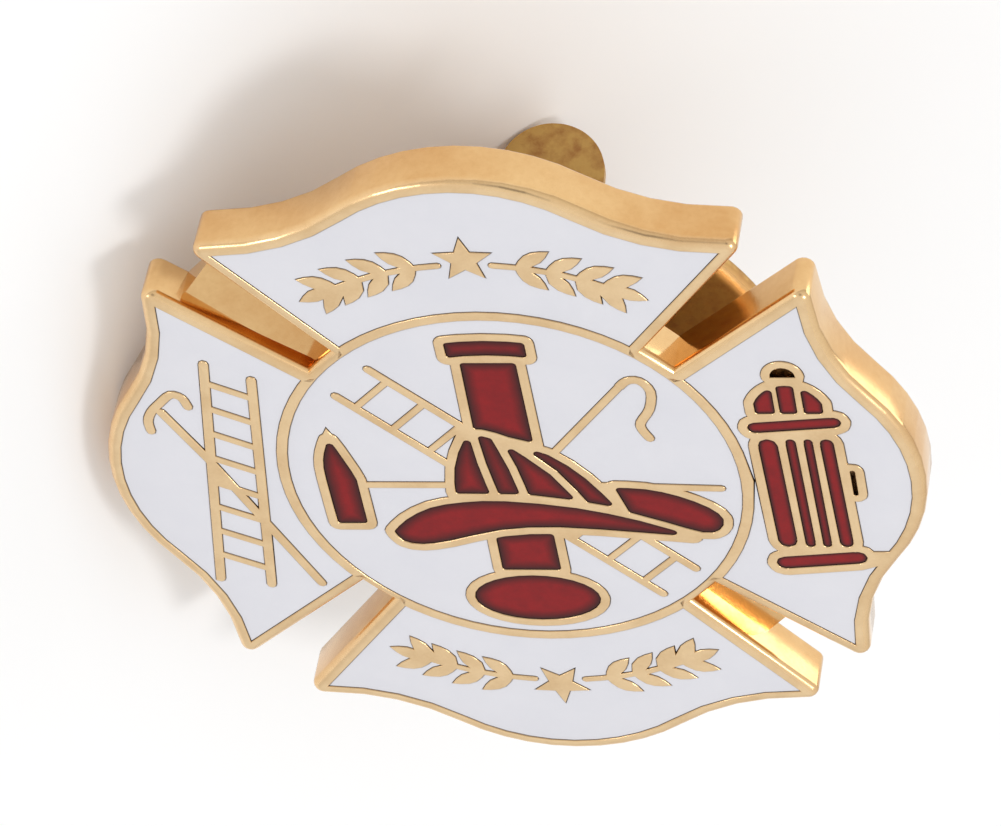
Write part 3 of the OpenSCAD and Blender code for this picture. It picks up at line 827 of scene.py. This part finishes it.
def spring_sheet(bend_r=0.5, steps_along=96, steps_across=16):
    """The butterfly spring's middle surface. Along the spring, with s from its middle, it is flat
    for a, turns up round the radius r for b = r rise, and runs straight for c to the ear's end:
    y = min(s, a) + r sin t + (s - a - b) cos rise, and z falls by r (1 - cos t) and by
    (s - a - b) sin rise, with t = (s - a) / r from 0 to rise. Across it a point lies at v w(s),
    with v from -1 to 1, where the half width w is the ear's radius, drawn in by the waist at the
    bend, and closes in a half circle at the end, which is left a hair short and open."""
    waist, waist_length = 0.18, 0.8
    tip_gap, tip_width = 0.004, 0.1
    short = bend_r * math.tan(EAR_RISE / 2)
    a, b, c = SPRING_FLAT - short, bend_r * EAR_RISE, EAR_RUN - short + EAR_R - tip_gap
    s = (a + b + c) * np.sin(np.linspace(-math.pi / 2, math.pi / 2, steps_along + 1))
    far = np.abs(s)
    t = np.clip((far - a) / bend_r, 0, EAR_RISE)
    up = np.clip(far - a - b, 0, None)
    y = np.sign(s) * (np.minimum(far, a) + bend_r * np.sin(t) + up * math.cos(EAR_RISE))
    z = -SPRING_FRONT - SHEET / 2 - bend_r * (1 - np.cos(t)) - up * math.sin(EAR_RISE)
    past = np.clip(up - EAR_RUN + short, 0, None)
    w = np.sqrt(np.clip(EAR_R**2 - past**2, tip_width**2, None))
    w -= waist * np.exp(-(((far - a - b) / waist_length) ** 2))
    across = w[:, None] * np.linspace(-1, 1, steps_across + 1)
    along = np.broadcast_to(y[:, None], across.shape)
    height = np.broadcast_to(z[:, None], across.shape)
    return np.stack([across, along, height], axis=2)


def thick_sheet(middle, thickness):
    """A closed shell round an open grid: its two faces lie half the thickness to each side along
    the grid's normals, and they are joined by quads all round the grid's edge."""
    rows, columns = middle.shape[:2]
    normal = np.cross(np.gradient(middle, axis=1), np.gradient(middle, axis=0))
    normal /= np.linalg.norm(normal, axis=2)[:, :, None]
    upper, lower = middle + normal * thickness / 2, middle - normal * thickness / 2
    points = np.concatenate([upper.reshape(-1, 3), lower.reshape(-1, 3)])
    index = np.arange(rows * columns).reshape(rows, columns)
    corners = [index[:-1, :-1], index[1:, :-1], index[1:, 1:], index[:-1, 1:]]
    top = np.stack(corners, axis=2).reshape(-1, 4)
    ring = np.concatenate([index[0, :-1], index[:-1, -1], index[-1, :0:-1], index[:0:-1, 0]])
    following = np.roll(ring, -1)
    shift = rows * columns
    side = np.stack([ring, following, following + shift, ring + shift], axis=1)
    return points, [top, top[:, ::-1] + shift, side]


class PIN_OT_clutch_wings(bpy.types.Operator):
    """Builds the clutch's butterfly spring with its two ears and the hub round the post"""

    bl_idname = "service_pin.clutch_wings"
    bl_label = "Clutch wings"

    def execute(self, context):
        clutch = context.scene.service_pin.clutch
        points, grids = thick_sheet(spring_sheet(), SHEET)
        turn = np.array(Matrix.Rotation(TURN, 3, "Z"))
        brass = clutch_brass(clutch)
        spring = [(points @ turn.T, grids, {})]
        wings = make_piece("clutch_spring", spring, brass, "clutch_wings")
        soften = wings.modifiers.new("Soft edges", "BEVEL")
        soften.width = 0.06 * MM
        soften.segments = 3
        soften.limit_method = "ANGLE"
        soften.angle_limit = math.radians(50)
        # The hub's sheet narrows from the spring's back along the post
        seat = -SPRING_FRONT - SHEET
        knots = [(0.85, seat - 0.5), (0.88, seat - 0.35), (1.0, seat - 0.12), (1.25, seat)]
        line = through(knots, steps=5)
        points, quads = revolved(sheet_section(line, HUB_SHEET), clutch.steps // 2)
        make_piece("clutch_hub", [(points, [quads], {})], brass, "clutch_wings")
        return {"FINISHED"}


class PIN_OT_stage(bpy.types.Operator):
    """Sets up the floor, the lights and the camera"""

    bl_idname = "service_pin.stage"
    bl_label = "Stage"

    def execute(self, context):
        stage = context.scene.service_pin.stage
        self.lay_floor(context, stage)
        self.place_camera(context, stage)
        context.scene.world = self.light_tent(stage)
        context.scene.view_settings.view_transform = "Standard"
        for lamp in LAMPS:
            self.place_lamp(context, *lamp)
        return {"FINISHED"}

    def place_lamp(self, context, name, round_about, up, distance, size, power):
        """A square lamp that looks at the pin from its direction and its distance."""
        lamp = bpy.data.lights.new(name, "AREA")
        lamp.shape = "SQUARE"
        lamp.size = size
        lamp.energy = power
        light = bpy.data.objects.new(name, lamp)
        context.scene.collection.objects.link(light)
        a, b = math.radians(round_about), math.radians(up)
        away = Vector((math.cos(a) * math.cos(b), math.sin(a) * math.cos(b), math.sin(b)))
        light.location = away * distance
        light.rotation_mode = "QUATERNION"
        light.rotation_quaternion = away.to_track_quat("Z", "Y")

    def light_tent(self, stage):
        """White light from all round, a little weaker near the floor and weak on the photo's side,
        where the camera and its holder would keep it off."""
        world = bpy.data.worlds.new("studio")
        world.use_nodes = True
        tree = world.node_tree
        background = tree.nodes["Background"]
        place = node_in(tree, "ShaderNodeTexCoord", -900, 0)
        parts = node_in(tree, "ShaderNodeSeparateXYZ", -650, 150)
        height = node_in(
            tree, "ShaderNodeMapRange", -450, 150, From_Min=0.0, From_Max=0.5, To_Min=0.75,
        )
        apart = node_in(tree, "ShaderNodeVectorMath", -650, -150, operation="DISTANCE")
        apart.inputs[1].default_value = Vector(to_world(np.array([CAMERA_PLACE]))[0]).normalized()
        spot = node_in(
            tree, "ShaderNodeMapRange", -450, -150, From_Min=0.12, From_Max=0.3, To_Min=0.3,
        )
        shade = node_in(tree, "ShaderNodeMath", -200, 0, operation="MULTIPLY")
        tree.links.new(place.outputs["Object"], parts.inputs["Vector"])
        tree.links.new(place.outputs["Object"], apart.inputs[0])
        tree.links.new(parts.outputs["Z"], height.inputs["Value"])
        tree.links.new(apart.outputs["Value"], spot.inputs["Value"])
        tree.links.new(height.outputs["Result"], shade.inputs[0])
        tree.links.new(spot.outputs["Result"], shade.inputs[1])
        tree.links.new(shade.outputs[0], background.inputs["Color"])
        background.inputs["Strength"].default_value = stage.light
        return world

    def lay_floor(self, context, stage):
        """A wide pale sheet under the pin, with a faint cloudiness like the enamel's."""
        mesh = bpy.data.meshes.new("floor")
        sides = ((-1, -1), (1, -1), (1, 1), (-1, 1))
        corners = [(x * FLOOR_HALF, y * FLOOR_HALF, FLOOR_HEIGHT) for x, y in sides]
        mesh.from_pydata(corners, [], [(0, 1, 2, 3)])
        material, tree, shader = new_material("floor")
        cloud = [FLOOR_CLOUD * value for value in stage.floor]
        paper = group_in(
            tree, enamel_group(), -600, 200, Body=(*stage.floor, 1), Cloud=(*cloud, 1),
            Cloud_scale=30.0, Cloud_amount=0.5,
        )
        tree.links.new(paper.outputs["Color"], shader.inputs["Base Color"])
        shader.inputs["Roughness"].default_value = 0.7
        mesh.materials.append(material)
        floor = bpy.data.objects.new("floor", mesh)
        context.scene.collection.objects.link(floor)

    def place_camera(self, context, stage):
        """The camera laid down together with the pin, so it sees the pin from the photo's side."""
        turn = np.array(Euler([math.radians(a) for a in CAMERA_TURN]).to_matrix())
        matrix = np.eye(4)
        matrix[:3, :3] = REST_TURN @ turn
        matrix[:3, 3] = to_world(np.array([CAMERA_PLACE]))[0]
        sight = bpy.data.cameras.new("camera")
        sight.sensor_width = SENSOR_WIDTH
        sight.lens = stage.lens
        sight.clip_start, sight.clip_end = CAMERA_SIGHT
        camera = bpy.data.objects.new("camera", sight)
        context.scene.collection.objects.link(camera)
        camera.matrix_world = Matrix(matrix.tolist())
        context.scene.camera = camera


STEPS = (
    PIN_OT_plate,
    PIN_OT_white_enamel,
    PIN_OT_red_enamel,
    PIN_OT_clutch_base,
    PIN_OT_clutch_wings,
    PIN_OT_stage,
)


class PIN_PT_panel(bpy.types.Panel):
    """Lists the settings and the steps that build the pin"""

    bl_idname = "PIN_PT_panel"
    bl_label = "Service pin"
    bl_space_type = "VIEW_3D"
    bl_region_type = "UI"
    bl_category = "Pin"

    def draw(self, context):
        settings = context.scene.service_pin
        for group in (settings.plate, settings.enamel, settings.clutch, settings.stage):
            box = self.layout.box()
            for key in group.__annotations__:
                box.prop(group, key)
        for step in STEPS:
            self.layout.operator(step.bl_idname)


SETTINGS = (PlateSettings, EnamelSettings, ClutchSettings, StageSettings, PinSettings)
CLASSES = (*SETTINGS, *STEPS, PIN_PT_panel)


def register():
    """Registers the classes and hangs the settings on the scene."""
    for cls in CLASSES:
        bpy.utils.register_class(cls)
    bpy.types.Scene.service_pin = PointerProperty(type=PinSettings)


def unregister():
    """Takes the settings off the scene and unregisters the classes."""
    del bpy.types.Scene.service_pin
    for cls in reversed(CLASSES):
        bpy.utils.unregister_class(cls)


def main():
    register()
    for step in STEPS:
        group, name = step.bl_idname.split(".")
        getattr(getattr(bpy.ops, group), name)()


if __name__ == "__main__":
    main()
